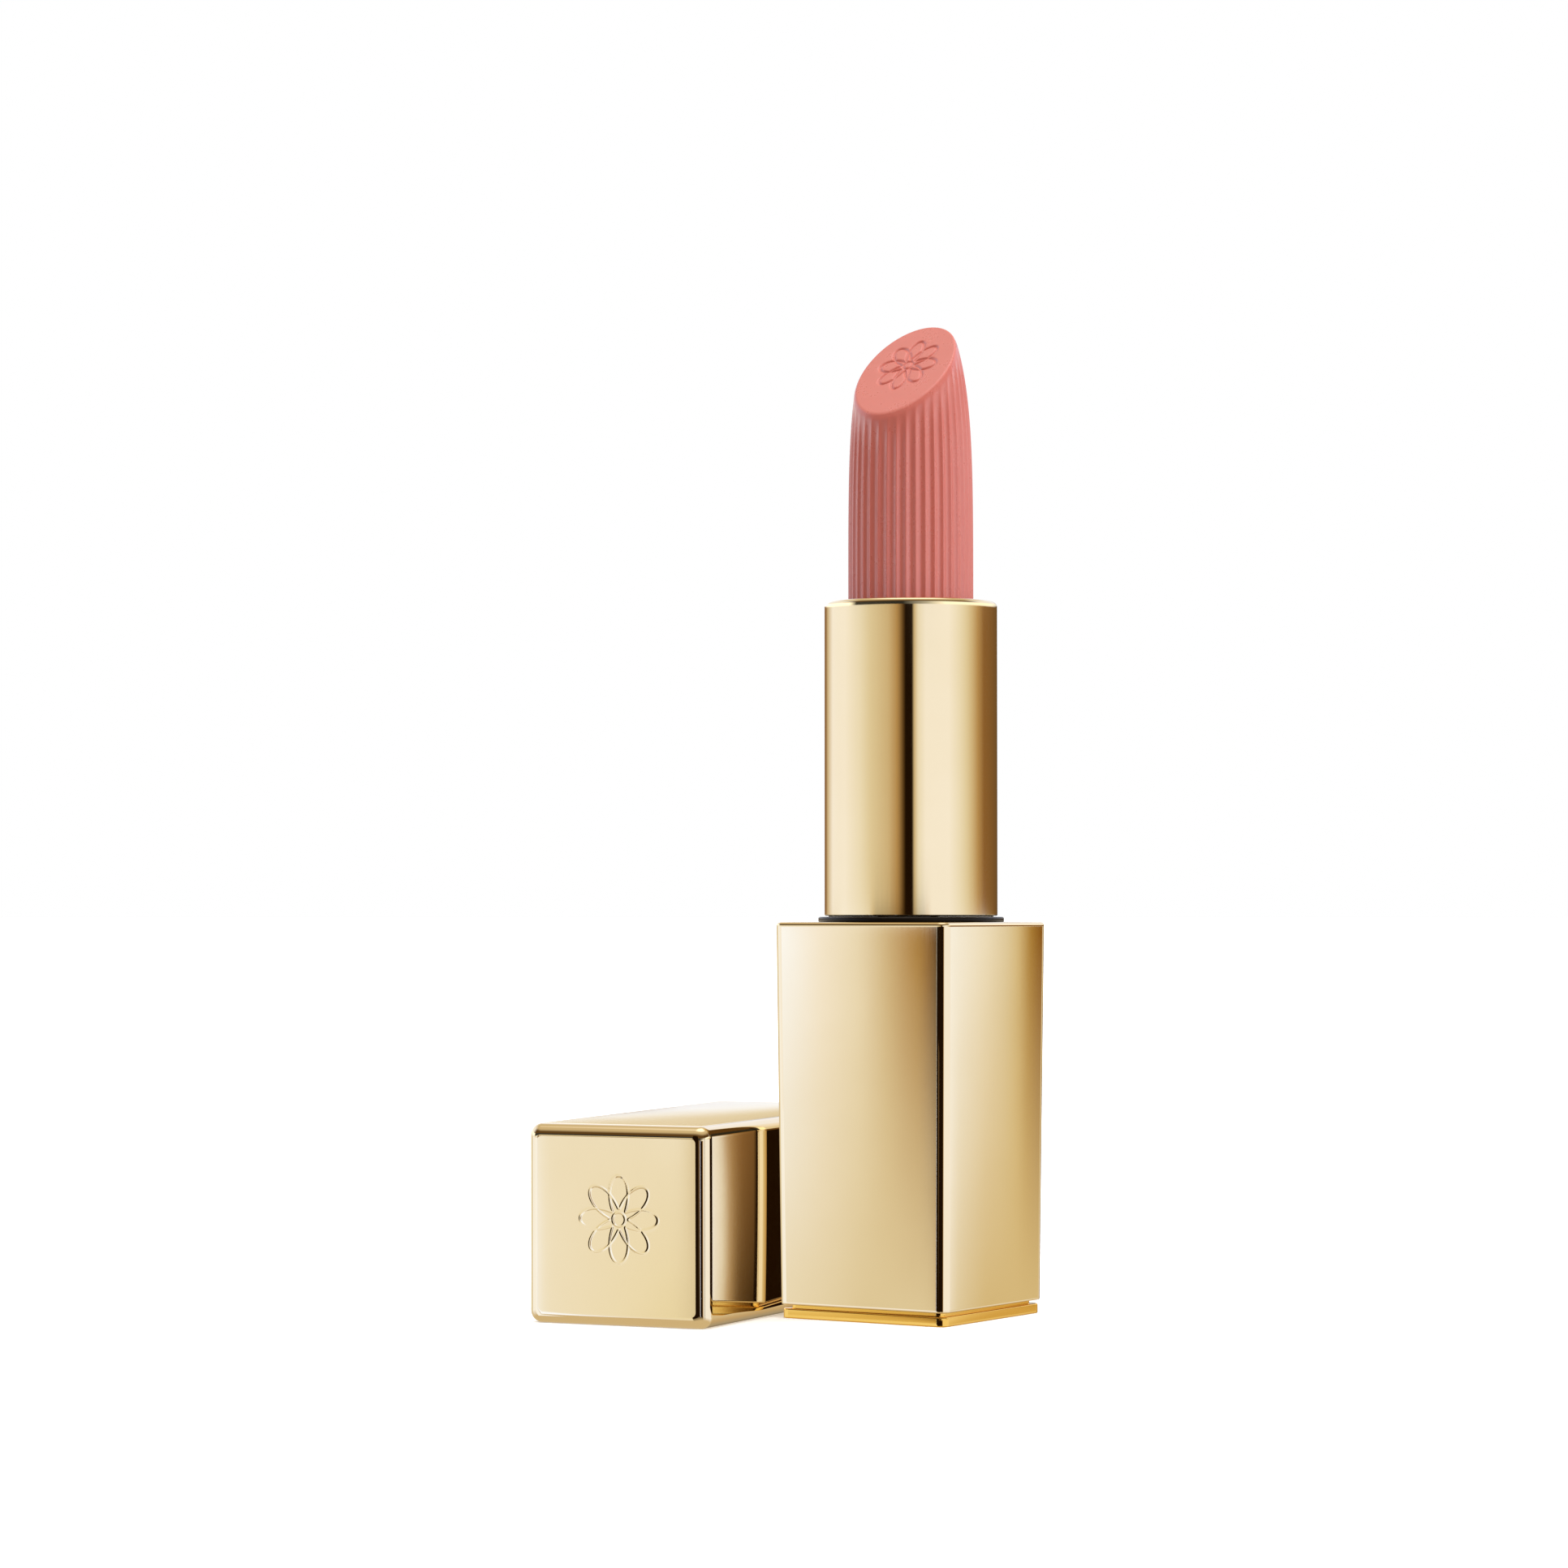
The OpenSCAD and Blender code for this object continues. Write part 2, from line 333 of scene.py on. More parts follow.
def build_stick():
    """Fluted bullet with one slanted face: softened rim, and an engraved rosette on the face."""
    segments, rows, face_rows = 640, 48, 110
    flute_depth, fade_reach = 0.2, 4.5
    rosette_r, rosette_stretch = 3.1, np.array([1.0, 1.15])
    groove_w, groove_t = 0.34, 0.16
    angles = np.linspace(0, 2 * math.pi, segments, endpoint=False)
    cos_a, sin_a = np.cos(angles), np.sin(angles)
    cut = np.full(segments, CUT_H)
    for _ in range(60):
        cut = 0.5 * cut + 0.5 * (CUT_H + CUT_SLOPE * stick_radius(cut) * sin_a)
    wave = np.clip(np.abs(np.sin(FLUTES / 2 * angles)) * 1.12 - 0.12, 0, 1)
    base_low = stick_low.z - RIM_Z
    rings = []

    def ring_at(height):
        r = stick_radius(np.maximum(height, 0))
        fade = np.clip((cut - height - 0.4) / fade_reach, 0, 1)
        bottom = np.clip((height + 1.2) / 0.8, 0, 1)
        r = r - flute_depth * wave * fade * (2 - fade) * bottom
        return np.stack([r * cos_a, r * sin_a, RIM_Z + height], 1)

    heights_in_tube = (base_low, -6, -1.6, -1.2, -1.0, -0.8, -0.6, -0.4, 0)
    for h in heights_in_tube:
        rings.append(ring_at(np.full(segments, float(h))))
    for j in range(1, rows + 1):
        rings.append(ring_at(cut * (j / rows)))
    rim = rings.pop()
    centre = np.array([0, rim[:, 1].mean(), 0])
    centre[2] = RIM_Z + CUT_H + CUT_SLOPE * centre[1]
    normal = np.array([0, -CUT_SLOPE, 1]) / math.hypot(CUT_SLOPE, 1)
    up = np.array([0, 1, CUT_SLOPE]) / math.hypot(CUT_SLOPE, 1)
    soft = 0.28
    for a in np.linspace(0, math.pi / 2, 6):
        drop = soft * (1 - math.sin(a))
        shift = soft * (1 - math.cos(a))
        inward = centre - rim
        inward /= np.linalg.norm(inward, axis=1)[:, None]
        rings.append(rim + inward * shift - np.array([0, 0, 1]) * drop)
    edge = rings[-1]
    shares = np.linspace(0, 1, face_rows + 1)[1:]
    face = np.concatenate([edge + (centre - edge) * min(s, FACE_CLOSED) for s in shares])
    flat = np.stack([(face - centre)[:, 0], (face - centre) @ up], 1)
    lines = rosette(rosette_r) * rosette_stretch
    face = face - normal * groove_depth(flat, lines, groove_w, groove_t)[:, None]
    rings += list(face.reshape(face_rows, segments, 3))
    floor = [(x * PINHOLE, y * PINHOLE, stick_low.z) for x, y, _ in rings[0]]
    rings = [floor] + [list(map(tuple, ring)) for ring in rings]
    return ring_piece("stick_visible", rings, 60, closed=False)


# ---------------------------------------------------------------- the cap
CAP_L = 41
CAP_END_W = 18.8
CAP_YAW = math.radians(8.58)
CAP_TILT = math.atan((BASE_TOP_W - CAP_END_W) / 2 / CAP_L)
CAP_END_XY = (-17.33, -24.67)
CAP_SIDE_STEPS = 84


def cap_matrix():
    """From the cap's own frame, closed end down at the origin, to where it lies."""
    lift = CAP_END_W / 2 * math.cos(CAP_TILT)
    place = Matrix.Translation(Vector((CAP_END_XY[0], CAP_END_XY[1], lift)))
    return place @ Matrix.Rotation(CAP_YAW, 4, "Z") @ Matrix.Rotation(CAP_TILT - math.pi / 2, 4, "X")


def build_cap_shell():
    """Tapered square cap: broad soft edge and engraved rosette at the closed end, hemmed mouth."""
    fillet, corner, wall, floor_t, hem, pillow = 1.1, 1.1, 0.4, 0.6, 0.16, 0.03
    rosette_r, rosette_place = 4.1, np.array([0.3, -0.6])
    groove_w, groove_t = 0.24, 0.010

    def outer(z, inset=0.0):
        t = z / CAP_L
        w = CAP_END_W + (BASE_TOP_W - CAP_END_W) * t - 2 * inset
        return square_ring(w, corner - 0.6 * inset, z, pillow * (1 - (2 * t - 1) ** 2), CAP_SIDE_STEPS)

    edge = outer(0, fillet)
    shares = np.linspace(FACE_CLOSED, 0, 150)
    face = np.array([[(x * (1 - s), y * (1 - s)) for x, y, _ in edge] for s in shares]).reshape(-1, 2)
    lines = rosette(rosette_r) + rosette_place
    depth = groove_depth(face, lines, groove_w, groove_t)
    face = np.column_stack([face, depth]).reshape(len(shares), len(edge), 3)
    rings = [list(map(tuple, ring)) for ring in face]
    rings += [outer(fillet * inset, fillet * (1 - rise)) for inset, rise in quarter(10)][1:]
    rings += [outer(z) for z in crowded(fillet, CAP_L - hem, 26)[1:-1]]
    rings += [outer(CAP_L - hem * (1 - rise), hem * inset) for inset, rise in quarter(4)]
    inner_w = BASE_TOP_W - 2 * wall
    for z in (CAP_L - 0.05, CAP_L - 0.3, CAP_L / 2, floor_t + 0.2, floor_t):
        w = inner_w - (BASE_TOP_W - CAP_END_W) * (1 - z / CAP_L)
        rings.append(square_ring(w, 0.5, z, 0, CAP_SIDE_STEPS))
    rings.append([(x * PINHOLE, y * PINHOLE, floor_t) for x, y, _ in rings[-1]])
    flipped = [list(reversed(ring)) for ring in rings]
    piece = ring_piece("cap_shell_visible", flipped, closed=False)
    piece.data.flip_normals()
    piece.data.transform(Matrix.Scale(MM, 4) @ cap_matrix() @ Matrix.Scale(1 / MM, 4))
    return piece


# ---------------------------------------------------------------- materials
def material(name, build):
    made = bpy.data.materials.new(name)
    made.use_nodes = True
    tree = made.node_tree
    shader = tree.nodes["Principled BSDF"]
    build(tree, shader)
    return made


def add(tree, kind, inputs=None, **settings):
    """A node with its settings, its input values and links."""
    node = tree.nodes.new(kind)
    for key, value in settings.items():
        setattr(node, key, value)
    for key, value in (inputs or {}).items():
        if isinstance(value, bpy.types.NodeSocket):
            tree.links.new(value, node.inputs[key])
        else:
            node.inputs[key].default_value = value
    return node


def place_of(tree, stretch=(1, 1, 1)):
    """Object coordinates, scaled along each axis."""
    where = add(tree, "ShaderNodeTexCoord")
    return add(tree, "ShaderNodeMapping", {"Vector": where.outputs["Object"], "Scale": stretch}).outputs[0]


def noise(tree, where, scale, detail=2.0, roughness=0.5):
    inputs = {"Vector": where, "Scale": scale, "Detail": detail, "Roughness": roughness}
    return add(tree, "ShaderNodeTexNoise", inputs).outputs["Fac"]


def compute(tree, operation, *values):
    """What a math node makes of its values."""
    return add(tree, "ShaderNodeMath", dict(enumerate(values)), operation=operation).outputs[0]


def spread(tree, value, low, high, from_low=0.3, from_high=0.7):
    """Maps a noise value into a range."""
    inputs = {"Value": value, "From Min": from_low, "From Max": from_high, "To Min": low, "To Max": high}
    return add(tree, "ShaderNodeMapRange", inputs).outputs[0]


def tint(tree, value, first, second):
    mix = add(tree, "ShaderNodeMix", data_type="RGBA")
    tree.links.new(value, mix.inputs[0])
    mix.inputs[6].default_value = (*first, 1)
    mix.inputs[7].default_value = (*second, 1)
    return mix.outputs[2]


def bump(tree, height, distance, strength=1.0, under=None):
    inputs = {"Height": height, "Distance": distance, "Strength": strength}
    if under is not None:
        inputs["Normal"] = under
    return add(tree, "ShaderNodeBump", inputs).outputs[0]


def gold_look(light, deep, rough_low, rough_high):
    """Polished metal: faint clouding of colour and gloss, hairline polish marks, slight waviness."""

    def build(tree, shader):
        where = place_of(tree)
        clouds = noise(tree, where, 90, 3)
        tree.links.new(tint(tree, spread(tree, clouds, 0, 1), light, deep), shader.inputs["Base Color"])
        hairs = noise(tree, place_of(tree, (1, 1, 0.02)), 9000, 2)
        clouded = spread(tree, clouds, rough_low, rough_high)
        rough = compute(tree, "ADD", clouded, spread(tree, hairs, 0, 0.01))
        tree.links.new(rough, shader.inputs["Roughness"])
        waves = bump(tree, noise(tree, where, 260, 2), 0.8 * MICRON)
        tree.links.new(bump(tree, hairs, 0.04 * MICRON, 1, waves), shader.inputs["Normal"])
        shader.inputs["Metallic"].default_value = 1.0

    return build


def plastic_look(light, deep, rough_low, rough_high, grain=3500, grain_depth=4 * MICRON, specular=0.5):
    """Moulded plastic: fine satin grain and slight clouding."""

    def build(tree, shader):
        where = place_of(tree)
        clouds = noise(tree, where, 220, 3)
        tree.links.new(tint(tree, spread(tree, clouds, 0, 1), light, deep), shader.inputs["Base Color"])
        fine = noise(tree, where, grain, 2)
        tree.links.new(spread(tree, fine, rough_low, rough_high), shader.inputs["Roughness"])
        tree.links.new(bump(tree, fine, grain_depth), shader.inputs["Normal"])
        shader.inputs["Specular IOR Level"].default_value = specular

    return build


def wax_look(tree, shader):
    """Lipstick: pearly pigment in satin wax, with faint drag lines from the mould."""
    where = place_of(tree)
    pigment = noise(tree, where, 700, 4, 0.6)
    colour = tint(tree, spread(tree, pigment, 0, 1), (0.60, 0.158, 0.129), (0.59, 0.154, 0.126))
    tree.links.new(colour, shader.inputs["Base Color"])
    drag = noise(tree, place_of(tree, (1, 1, 0.03)), 5200, 2)
    gloss = compute(tree, "ADD", spread(tree, pigment, 0.26, 0.32), spread(tree, drag, -0.01, 0.02))
    tree.links.new(gloss, shader.inputs["Roughness"])
    fine = bump(tree, noise(tree, where, 6500, 2), 0.5 * MICRON)
    tree.links.new(bump(tree, drag, 0.8 * MICRON, 1, fine), shader.inputs["Normal"])
    shader.inputs["Subsurface Weight"].default_value = 0.12
    shader.inputs["Subsurface Radius"].default_value = (1.0, 0.35, 0.25)
    shader.inputs["Subsurface Scale"].default_value = 0.0008
    shader.inputs["IOR"].default_value = 1.55
    shader.inputs["Specular IOR Level"].default_value = 0.9


def steel_look(tree, shader):
    """Turned steel with fine concentric tool marks."""
    where = place_of(tree)
    inputs = {"Vector": where, "Scale": 2600, "Distortion": 1.5}
    wave = add(tree, "ShaderNodeTexWave", inputs, wave_type="RINGS", rings_direction="Z")
    marks = wave.outputs["Fac"]
    tree.links.new(spread(tree, marks, 0.28, 0.42, 0, 1), shader.inputs["Roughness"])
    colour = tint(tree, noise(tree, where, 400, 3), (0.52, 0.53, 0.55), (0.42, 0.43, 0.45))
    tree.links.new(colour, shader.inputs["Base Color"])
    tree.links.new(bump(tree, marks, 2 * MICRON), shader.inputs["Normal"])
    shader.inputs["Metallic"].default_value = 1.0


def label_look(tree, shader):
    """Blank printed film: a thin grey border ring on off-white."""
    border_r, ink_to, film_from = 6.3 * MM, 0.08 * MM, 0.12 * MM
    where = place_of(tree)
    flat = add(tree, "ShaderNodeSeparateXYZ", {0: where})
    squares = [compute(tree, "MULTIPLY", flat.outputs[i], flat.outputs[i]) for i in (0, 1)]
    radius = compute(tree, "SQRT", compute(tree, "ADD", *squares))
    gap = compute(tree, "ABSOLUTE", compute(tree, "SUBTRACT", radius, border_r))
    film = spread(tree, gap, 0, 1, ink_to, film_from)
    colour = tint(tree, film, (0.35, 0.33, 0.31), (0.86, 0.84, 0.80))
    tree.links.new(colour, shader.inputs["Base Color"])
    fibre = noise(tree, where, 5000, 3)
    tree.links.new(spread(tree, fibre, 0.35, 0.5), shader.inputs["Roughness"])
    tree.links.new(bump(tree, fibre, 3 * MICRON), shader.inputs["Normal"])


LOOKS = {
    "gold_case": gold_look((0.93, 0.78, 0.50), (0.91, 0.755, 0.47), 0.032, 0.045),
    "gold_tube": gold_look((0.93, 0.78, 0.49), (0.91, 0.755, 0.46), 0.04, 0.055),
    # The foot is gold, deepened here to a more orange tone. This paints in the warmer reflection the foot
    # shows, because the tent gives it the same light as the shell's lower edge.
    "gold_foot": gold_look((0.91, 0.56, 0.12), (0.88, 0.53, 0.10), 0.06, 0.09),
    # The collar is dark plastic, taken down to near black with its gloss turned down. This paints in the
    # shade of the joint where the tube enters the base.
    "collar": plastic_look(
        (0.006, 0.004, 0.003), (0.009, 0.006, 0.004), 0.3, 0.36, 6000, 0.4 * MICRON, 0.15
    ),
    "liner": plastic_look((0.86, 0.83, 0.76), (0.82, 0.79, 0.71), 0.38, 0.5),
    "mechanism": plastic_look((0.80, 0.77, 0.69), (0.75, 0.72, 0.64), 0.35, 0.45),
    "ballast": steel_look,
    "o_ring": plastic_look((0.02, 0.02, 0.02), (0.03, 0.03, 0.03), 0.5, 0.6),
    "cup": gold_look((0.86, 0.66, 0.34), (0.82, 0.62, 0.3), 0.12, 0.18),
    "lipstick": wax_look,
    "label": label_look,
}
MATERIALS = {name: material(name, look) for name, look in LOOKS.items()}


def dress(obj, slot_name):
    obj.data.materials.clear()
    obj.data.materials.append(MATERIALS[slot_name])
    return obj


# ---------------------------------------------------------------- the pieces, on their bodies
for build, node, slot_name in (
    (build_base_shell, "base_shell", "gold_case"),
    (build_base_foot, "base_foot", "gold_foot"),
    (build_collar, "collar", "collar"),
    (build_tube, "tube_shell", "gold_tube"),
    (build_stick, "stick", "lipstick"),
    (build_cap_shell, "cap_shell", "gold_case"),
):
    stand_for(dress(build(), slot_name), node)

for entry in frame["record"]["subparts"]:
    node = frame["nodes"][entry["node"]]
    if not node.hide_render:
        dress(node, entry["material_slot"])


# ---------------------------------------------------------------- studio
# What polished gold does to the light it mirrors: once, twice, and at a glancing angle.
GOLD = (0.92, 0.77, 0.485)
GOLD_TWICE = tuple(share * share for share in GOLD)
GOLD_GLANCING = (0.98, 0.95, 0.88)

# Colours as they are to be seen in the metal, in display values from 0 to 255.
WHITE = (254, 251, 242)
IVORY = (250, 241, 220)
CREAM = (246, 231, 203)
PALE = (235, 217, 178)
BUTTER = (239, 222, 185)
STRAW = (234, 213, 161)
SAND = (223, 200, 151)
HONEY = (213, 182, 120)
TAN = (206, 175, 120)
BRONZE = (180, 137, 76)
COPPER = (170, 122, 40)
RUSSET = (130, 76, 6)
BROWN = (137, 92, 42)
UMBER = (92, 62, 26)
BLACK = (28, 13, 2)


def tone(colour, metal=GOLD):
    """The light that the metal has to mirror to be seen in a display colour."""
    shown = [c / 255 for c in colour]
    linear = [c / 12.92 if c < 0.04045 else ((c + 0.055) / 1.055) ** 2.4 for c in shown]
    return tuple(c / share for c, share in zip(linear, metal))


def make_floor():
    """A wide pale table, kept out of mirror reflections and out of bounced light."""
    mesh = bpy.data.meshes.new("floor")
    reach = 18.0
    corners = [(-reach, -reach, 0), (reach, -reach, 0), (reach, reach, 0), (-reach, reach, 0)]
    mesh.from_pydata(corners, [], [(0, 1, 2, 3)])
    floor = bpy.data.objects.new("floor", mesh)
    scene.collection.objects.link(floor)

    def look(tree, shader):
        grain = noise(tree, place_of(tree), 300, 2)
        tree.links.new(tint(tree, grain, (0.93, 0.93, 0.93), (0.95, 0.95, 0.95)), shader.inputs["Base Color"])
        shader.inputs["Roughness"].default_value = 0.6
        shader.inputs["Specular IOR Level"].default_value = 0.0
        shader.inputs["Emission Color"].default_value = (1, 1, 1, 1)
        shader.inputs["Emission Strength"].default_value = 0.25

    mesh.materials.append(material("pale_floor", look))
    floor.visible_glossy = False
    floor.visible_diffuse = False


def ramp_node(tree, value, stops):
    """A colour ramp whose stops are (place from 0 to 1, light as a colour or a brightness)."""
    node = add(tree, "ShaderNodeValToRGB", {0: value})
    ramp = node.color_ramp
    while len(ramp.elements) < len(stops):
        ramp.elements.new(0.5)
    for element, (place, colour) in zip(ramp.elements, stops):
        element.position = place
        element.color = (colour, colour, colour, 1) if isinstance(colour, float) else (*colour, 1)
    return node.outputs[0]


def blend_colours(tree, share, first, second):
    """One colour socket, then another as share goes from 0 to 1."""
    mix = add(tree, "ShaderNodeMix", data_type="RGBA")
    for socket, value in ((mix.inputs[0], share), (mix.inputs[6], first), (mix.inputs[7], second)):
        if isinstance(value, bpy.types.NodeSocket):
            tree.links.new(value, socket)
        else:
            socket.default_value = (*value, 1)
    return mix.outputs[2]


# The light tent round the case, in tiers. Each stop is a bearing from the camera in degrees,
# positive to its right, and what shows there: the colour that gold has when it mirrors that
# bearing or, in the tier for the stick, the brightness of a white card.
LOW_TIER = (
    (-180, BRONZE),
    (-150, TAN),
    (-125, SAND),
    (-105, IVORY),
    (-60, CREAM),
    (-54, BRONZE),
    (-49, BLACK),
    (14, BLACK),
    (20, BRONZE),
    (26, CREAM),
    (60, CREAM),
    (112, CREAM),
    (122, SAND),
    (131, TAN),
    (140, BRONZE),
    (152, UMBER),
    (160, BLACK),
    (174, BLACK),
    (180, TAN),
)
TUBE_TIER = (
    (-180, BROWN),
    (-160, BROWN),
    (-147, TAN),
    (-130, CREAM),
    (-100, CREAM),
    (-73, PALE),
    (-58, SAND),
    (-32, TAN),
    (-20, BRONZE),
    (-12, UMBER),
    (-9, BLACK),
    (0, BLACK),
    (3, TAN),
    (8, PALE),
    (18, CREAM),
    (50, CREAM),
    (66, PALE),
    (78, SAND),
    (88, TAN),
    (99, BRONZE),
    (113, BROWN),
    (180, UMBER),
)
STICK_TIER = (
    (-180, 1.6),
    (-92, 1.6),
    (-80, 0.05),
    (-12, 0.03),
    (20, 0.5),
    (45, 1.3),
    (135, 1.3),
    (180, 0.6),
)
HIGH_TIER = (
    (-180, CREAM),
    (-110, CREAM),
    (-85, UMBER),
    (85, UMBER),
    (110, CREAM),
    (180, CREAM),
)


def make_world():
    """White to the camera; for light and reflections the tiers, tan above them, a bright top."""
    world = bpy.data.worlds.new("studio")
    world.use_nodes = True
    scene.world = world
    tree = world.node_tree
    tree.nodes.clear()
    where = add(tree, "ShaderNodeTexCoord").outputs["Generated"]
    turn = {"Vector": where, "Angle": math.pi / 2 - CAMERA_AZIMUTH}
    turned = add(tree, "ShaderNodeVectorRotate", turn, rotation_type="Z_AXIS")
    xyz = add(tree, "ShaderNodeSeparateXYZ", {0: turned.outputs[0]})
    bearing = compute(tree, "ARCTAN2", xyz.outputs[1], xyz.outputs[0])
    share = spread(tree, bearing, 0, 1, -math.pi, math.pi)

    def tier(stops):
        lights = [value if isinstance(value, float) else tone(value) for _, value in stops]
        places = [(deg + 180) / 360 for deg, _ in stops]
        return ramp_node(tree, share, list(zip(places, lights)))

    def above(low_deg, high_deg):
        """0 below the first elevation, 1 above the second."""
        low, high = math.sin(math.radians(low_deg)), math.sin(math.radians(high_deg))
        return spread(tree, xyz.outputs[2], 0, 1, low, high)

    # Each light takes over from the one below it between two elevations, in degrees.
    layers = (
        (-35, -12, tier(LOW_TIER)),
        (-0.25, -0.1, tier(TUBE_TIER)),
        (4.4, 5.2, tier(STICK_TIER)),
        (12, 16, tier(HIGH_TIER)),
        (30, 50, tone(TAN)),
        (60, 76, (1.5, 1.5, 1.5)),
    )
    sky = tone(TAN)
    for low_deg, high_deg, light in layers:
        sky = blend_colours(tree, above(low_deg, high_deg), sky, light)
    lit = add(tree, "ShaderNodeBackground", {"Color": sky, "Strength": 1.0})
    plain = add(tree, "ShaderNodeBackground", {"Color": (1, 1, 1, 1), "Strength": 1.0})
    seen = add(tree, "ShaderNodeLightPath").outputs["Is Camera Ray"]
    choose = add(tree, "ShaderNodeMixShader", {0: seen, 1: lit.outputs[0], 2: plain.outputs[0]})
    add(tree, "ShaderNodeOutputWorld", {"Surface": choose.outputs[0]})


def make_sun(name, bearing_deg, elevation_deg, strength, softness_deg):
    """A broad soft light at a bearing from the camera; not mirrored in the metal."""
    data = bpy.data.lights.new(name, "SUN")
    data.energy = strength
    data.angle = math.radians(softness_deg)
    light = bpy.data.objects.new(name, data)
    scene.collection.objects.link(light)
    a, e = CAMERA_AZIMUTH + math.radians(bearing_deg), math.radians(elevation_deg)
    source = Vector((math.sin(a) * math.cos(e), -math.cos(a) * math.cos(e), math.sin(e)))
    light.rotation_euler = source.to_track_quat("Z", "Y").to_euler()
    light.visible_glossy = False


def glow_material(name, colour_of):
    """A glowing material; colour_of makes its colour, as a value or a socket, in the node tree."""
    made = bpy.data.materials.new(name)
    made.use_nodes = True
    tree = made.node_tree
    tree.nodes.clear()
    glow = add(tree, "ShaderNodeEmission", {"Color": colour_of(tree)})
    add(tree, "ShaderNodeOutputMaterial", {"Surface": glow.outputs[0]})
    return made


def make_card(name, face, gap, top_stops, low_stops, spill, metal=GOLD, second=None):
    """A glowing graduated card that a flat face mirrors from edge to edge, seen from the camera.

    face is (lower left corner, edge across, edge up) in millimetres; gap is how far off the card
    stands; the stops run across its top and its bottom; spill is how far it passes the face's
    left, right, lower and upper edges, in shares of the face; second is the (point, normal) of
    another flat face that passes the reflection on.
    """
    corner, across, up = (Vector(v) for v in face)
    normal = across.cross(up).normalized()
    eye = CAMERA_PLACE / MM
    middle = corner + across / 2 + up / 2
    behind = eye - 2 * (eye - middle).dot(normal) * normal
    aim = (middle - behind).normalized()
    reach = (middle + aim * gap - behind).dot(aim)
    cells = 8
    left, right, low, high = spill
    verts, marks, faces = [], [], []
    for j in range(cells + 1):
        for i in range(cells + 1):
            u = -left + (1 + left + right) * i / cells
            v = -low + (1 + low + high) * j / cells
            ray = corner + across * u + up * v - behind
            point = behind + ray * (reach / ray.dot(aim))
            if second:
                point -= 2 * (point - Vector(second[0])).dot(second[1]) * Vector(second[1])
            verts.append(tuple(point * MM))
            marks.append((u, v))
    for j in range(cells):
        for i in range(cells):
            a = j * (cells + 1) + i
            faces.append((a, a + 1, a + cells + 2, a + cells + 1))
    mesh = bpy.data.meshes.new(name)
    mesh.from_pydata(verts, [], faces)
    layer = mesh.uv_layers.new(name="shares")
    for loop in mesh.loops:
        layer.data[loop.index].uv = marks[loop.vertex_index]
    card = bpy.data.objects.new(name, mesh)
    scene.collection.objects.link(card)

    def graduated(tree):
        shares = add(tree, "ShaderNodeUVMap", uv_map="shares")
        xyz = add(tree, "ShaderNodeSeparateXYZ", {0: shares.outputs[0]})
        top, bottom = (
            ramp_node(tree, xyz.outputs[0], [(u, tone(colour, metal)) for u, colour in stops])
            for stops in (top_stops, low_stops)
        )
        return blend_colours(tree, xyz.outputs[1], bottom, top)

    mesh.materials.append(glow_material(name, graduated))
    card.visible_camera = False
    card.visible_diffuse = False
    card.visible_shadow = False
    card.visible_transmission = False


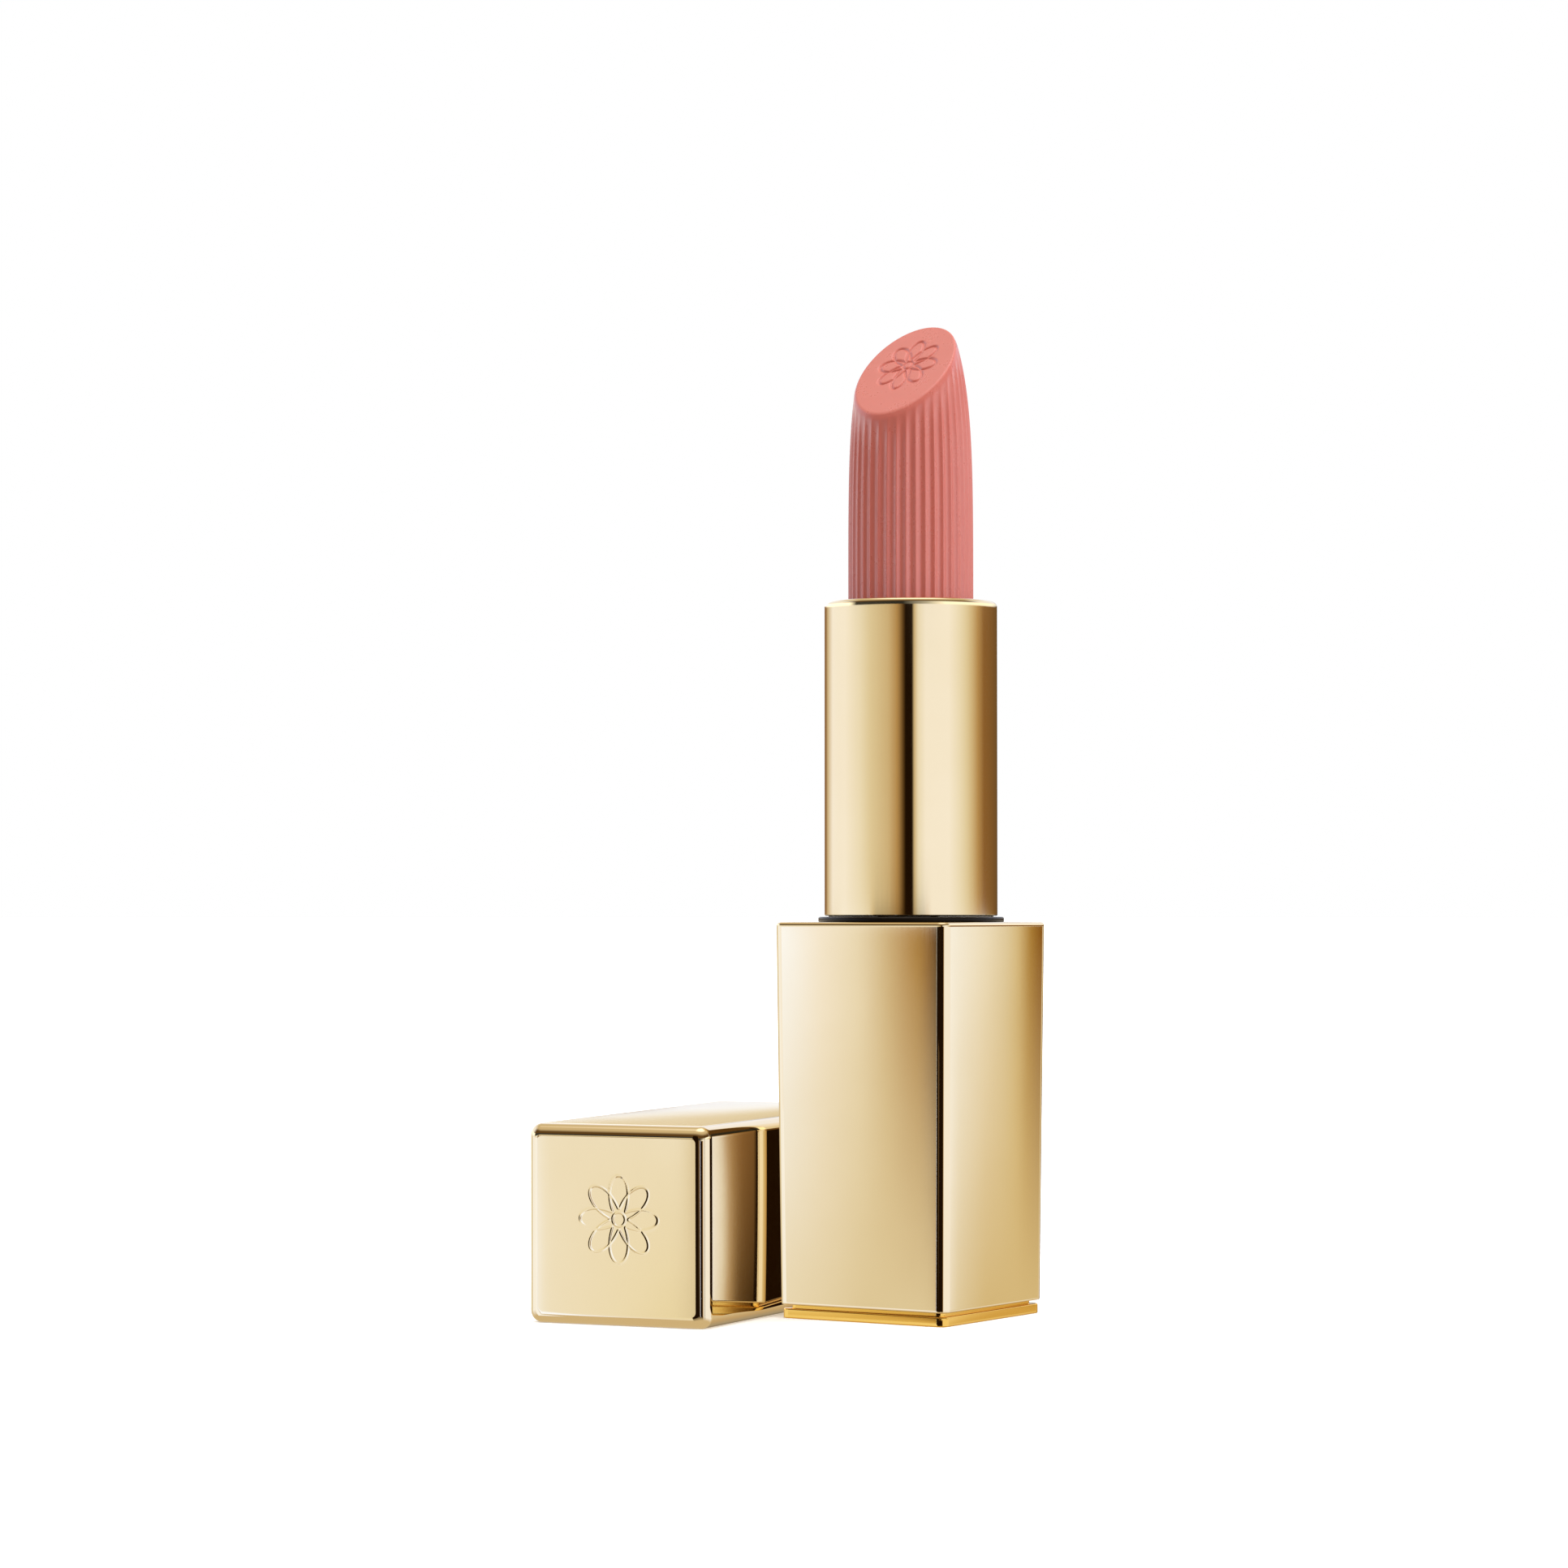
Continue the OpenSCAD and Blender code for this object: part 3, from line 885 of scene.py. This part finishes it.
def make_cards():
    """Graduated cards for the faces of base, cap and stick that the camera sees."""
    half, flare = BASE_LOW_W / 2, (BASE_TOP_W - BASE_LOW_W) / 2
    tall = shell_high.z - shell_low.z

    left_face = ((-half, -half, shell_low.z), (BASE_LOW_W, 0, 0), (0, -flare, tall))
    left_top = (
        (0, WHITE), (0.27, CREAM), (0.5, PALE), (0.68, TAN),
        (0.8, BRONZE), (0.87, COPPER), (0.93, RUSSET), (0.98, BLACK),
    )
    left_low = ((0, PALE), (0.5, SAND), (0.96, SAND), (1, BRONZE))
    make_card("card_left_face", left_face, 250, left_top, left_low, (0.25, 0.3, 0.15, 0))

    right_face = ((half, -half, shell_low.z), (0, BASE_LOW_W, 0), (flare, 0, tall))
    right_top = ((0, IVORY), (0.37, BUTTER), (0.6, SAND), (0.72, HONEY), (0.84, COPPER), (0.95, RUSSET))
    right_low = ((0, CREAM), (0.12, SAND), (0.4, HONEY), (1, HONEY))
    make_card("card_right_face", right_face, 110, right_top, right_low, (0.25, 0.25, 0.15, 0))

    across = Vector((math.cos(CAP_YAW), math.sin(CAP_YAW), 0))
    along = Vector((-math.sin(CAP_YAW), math.cos(CAP_YAW), 0))
    cap_flare = BASE_TOP_W - CAP_END_W
    width = across * CAP_END_W
    height = Vector((0, 0, CAP_END_W)) - along * CAP_END_W * math.sin(CAP_TILT)
    near_left = Vector((*CAP_END_XY, 0)) - width / 2
    near_right = near_left + width

    end_top = ((0, IVORY), (0.12, BUTTER), (0.85, BUTTER), (0.95, SAND), (0.985, BRONZE), (1, BLACK))
    end_low = ((0, WHITE), (0.1, BUTTER), (0.8, STRAW), (0.95, SAND), (0.985, BRONZE), (1, BLACK))
    make_card("card_cap_end", (near_left, width, height), 190, end_top, end_low, (0.35, 0.05, 3, 0.05))

    side = along * CAP_L + across * cap_flare / 2
    side_top = ((0, CREAM), (0.07, PALE), (0.11, BRONZE), (0.18, BROWN), (0.35, UMBER))
    side_low = ((0, CREAM), (0.07, SAND), (0.1, BRONZE), (0.15, UMBER), (0.3, BLACK))
    front_of_base = (Vector((0, -half - flare / 4, 0)), Vector((0, -1, 0)))
    make_card("card_cap_side", (near_right, side, height), 60, side_top, side_low,
              (0.02, 0.1, 0.3, 0.3), GOLD_TWICE, front_of_base)

    back = along * CAP_L + Vector((0, 0, cap_flare))
    back_top = ((0, (255, 255, 255)), (0.5, WHITE), (0.8, PALE), (1, SAND))
    back_low = ((0, IVORY), (0.4, PALE), (1, SAND))
    make_card("card_cap_top", (near_left + height, width, back), 160, back_top, back_low,
              (0.3, 0.3, 1, 1), GOLD_GLANCING)

    slant = Vector((0, 1, CUT_SLOPE)) * STICK_R * 2
    cut_low_left = Vector((-STICK_R, -STICK_R, RIM_Z + CUT_H - CUT_SLOPE * STICK_R))
    even = ((0, WHITE), (1, WHITE))
    make_card("card_cut_face", (cut_low_left, (2 * STICK_R, 0, 0), slant), 90, even, even,
              (0.4, 0.4, 0.4, 0.4), (1, 1, 1))


def make_flag(name, left, right, low, high, y, colour):
    """A small upright card, seen only in the metal, that covers another card's edge."""
    corners = [(left, y, low), (right, y, low), (right, y, high), (left, y, high)]
    flag = mesh_piece(name, corners, [(0, 1, 2, 3)])
    flag.data.materials.append(glow_material(name, lambda tree: (*tone(colour), 1)))
    flag.visible_camera = False
    flag.visible_diffuse = False
    flag.visible_shadow = False


make_floor()
make_world()
make_cards()
# name, left, right, lower and upper edge and distance along Y in millimetres, colour
for flag in (
    ("dark_flag", -21.6, -3, -12, 36.5, -66, BLACK),
    ("corner_flag", 9, 13, -10, 31, -30, BLACK),
    ("bright_flag", -44, -33.8, -20, 17, -45, IVORY),
):
    make_flag(*flag)
# name, bearing, elevation, strength, softness
for sun in (("key", 55, 30, 1.75, 50), ("top", -33, 72, 1.8, 60)):
    make_sun(*sun)
# The cap, like the table, is kept out of mirror reflections.
for body_node in frame["record"]["behaviour"]["bodies"]["cap"]:
    frame["nodes"][body_node].visible_glossy = False
bpy.data.objects["cap_shell_visible"].visible_glossy = False
